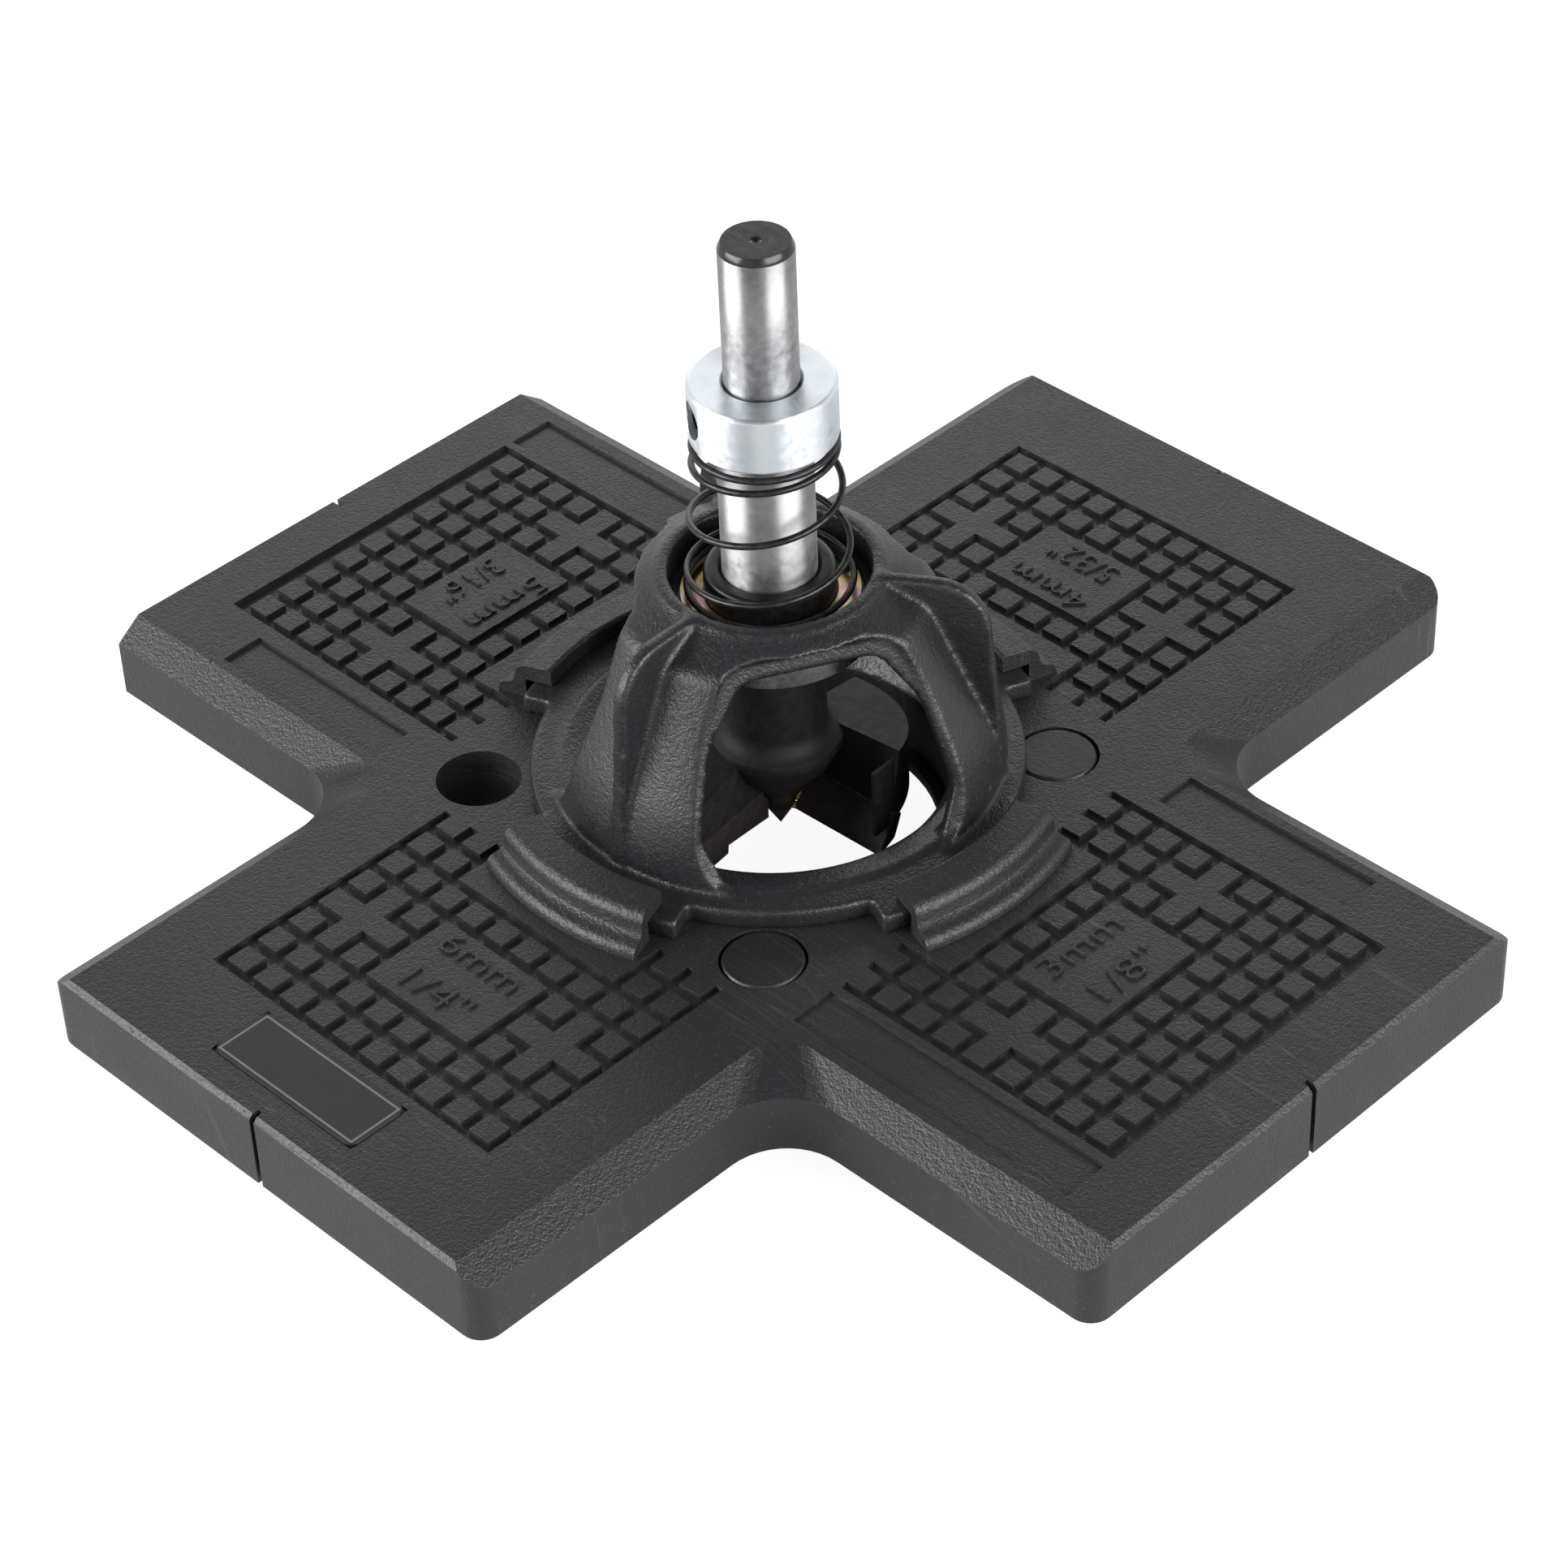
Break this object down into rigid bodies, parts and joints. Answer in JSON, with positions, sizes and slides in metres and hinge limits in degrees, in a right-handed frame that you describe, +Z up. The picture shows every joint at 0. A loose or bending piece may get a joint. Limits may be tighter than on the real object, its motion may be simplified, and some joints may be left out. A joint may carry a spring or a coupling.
{
  "type": "hinge cup boring jig",
  "caption": "Drilling guide for 35 mm concealed-hinge cups: cross-shaped plastic base, windowed bayonet housing, sprung bit in a ball bearing, depth collar and edge pegs",
  "frame": {"origin": "on the cutter's axis, in the plane of the base's underside", "axes": "+Z up along the cutter, +X along the arm for 3 mm and +Y along the arm for 4 mm"},
  "size_m": [0.1787, 0.1802, 0.0972],
  "materials": {
    "moulded_plastic": "fine-textured charcoal grey moulding",
    "peg_plastic": "smooth charcoal grey moulding",
    "label_film": "blank grey film in the label's place",
    "bright_steel": "ground",
    "zinc_plate": "bright zinc",
    "black_oxide": "oiled black oxide on steel",
    "yellow_zinc": "yellow-passivated zinc on steel",
    "carbide": "ground carbide",
    "cage_brass": "pressed ball cage"
  },
  "bodies": {
    "base": {"base_plate": "moulded_plastic", "blank_label": "label_film", "edge_peg_front": "peg_plastic", "edge_peg_right": "peg_plastic"},
    "housing": {"guide_housing": "moulded_plastic", "bearing_outer_ring": "bright_steel", "bearing_shield_upper": "bright_steel", "bearing_shield_lower": "bright_steel", "bearing_circlip": "black_oxide"},
    "cage": {"bearing_cage": "cage_brass", "bearing_balls": "bright_steel"},
    "spindle": {"bearing_inner_ring": "bright_steel", "guide_sleeve": "black_oxide", "sleeve_circlip": "black_oxide", "spring_washer": "yellow_zinc", "return_spring": "black_oxide"},
    "bit": {"bit_shank": "bright_steel", "shank_end": "black_oxide", "cutter_head": "black_oxide", "cutting_tip_a": "carbide", "cutting_tip_b": "carbide", "scoring_tip_a": "carbide", "scoring_tip_b": "carbide", "centre_point": "carbide"},
    "stop_collar": {"depth_collar": "zinc_plate"},
    "stop_screw": {"grub_screw": "black_oxide"}
  },
  "joints": [
    {"name": "housing_lock", "type": "hinge", "parent": "base", "child": "housing", "pos_m": [0, 0, 0.0113], "axis": [0, 0, 1], "range_deg": [0, 45]},
    {"name": "spindle_turn", "type": "hinge", "parent": "housing", "child": "spindle", "pos_m": [0, 0, 0.0367], "axis": [0, 0, 1], "continuous": true},
    {"name": "cage_turn", "type": "hinge", "parent": "housing", "child": "cage", "pos_m": [0, 0, 0.0367], "axis": [0, 0, 1], "continuous": true},
    {"name": "bit_plunge", "type": "slide", "parent": "spindle", "child": "bit", "axis": [0, 0, -1], "range_m": [0, 0.0175], "stiffness_N_per_m": 400, "springref_m": -0.012, "deforming": ["return_spring"]},
    {"name": "stop_height", "type": "slide", "parent": "bit", "child": "stop_collar", "axis": [0, 0, 1], "range_m": [0, 0.008]},
    {"name": "stop_screw_turn", "type": "hinge", "parent": "stop_collar", "child": "stop_screw", "pos_m": [-0.0035, -0.0066, 0.0683], "axis": [-0.4695, -0.8829, 0], "continuous": true}
  ],
  "couplings": [
    {"joint": "cage_turn", "follows": "spindle_turn", "ratio": 0.42}
  ]
}
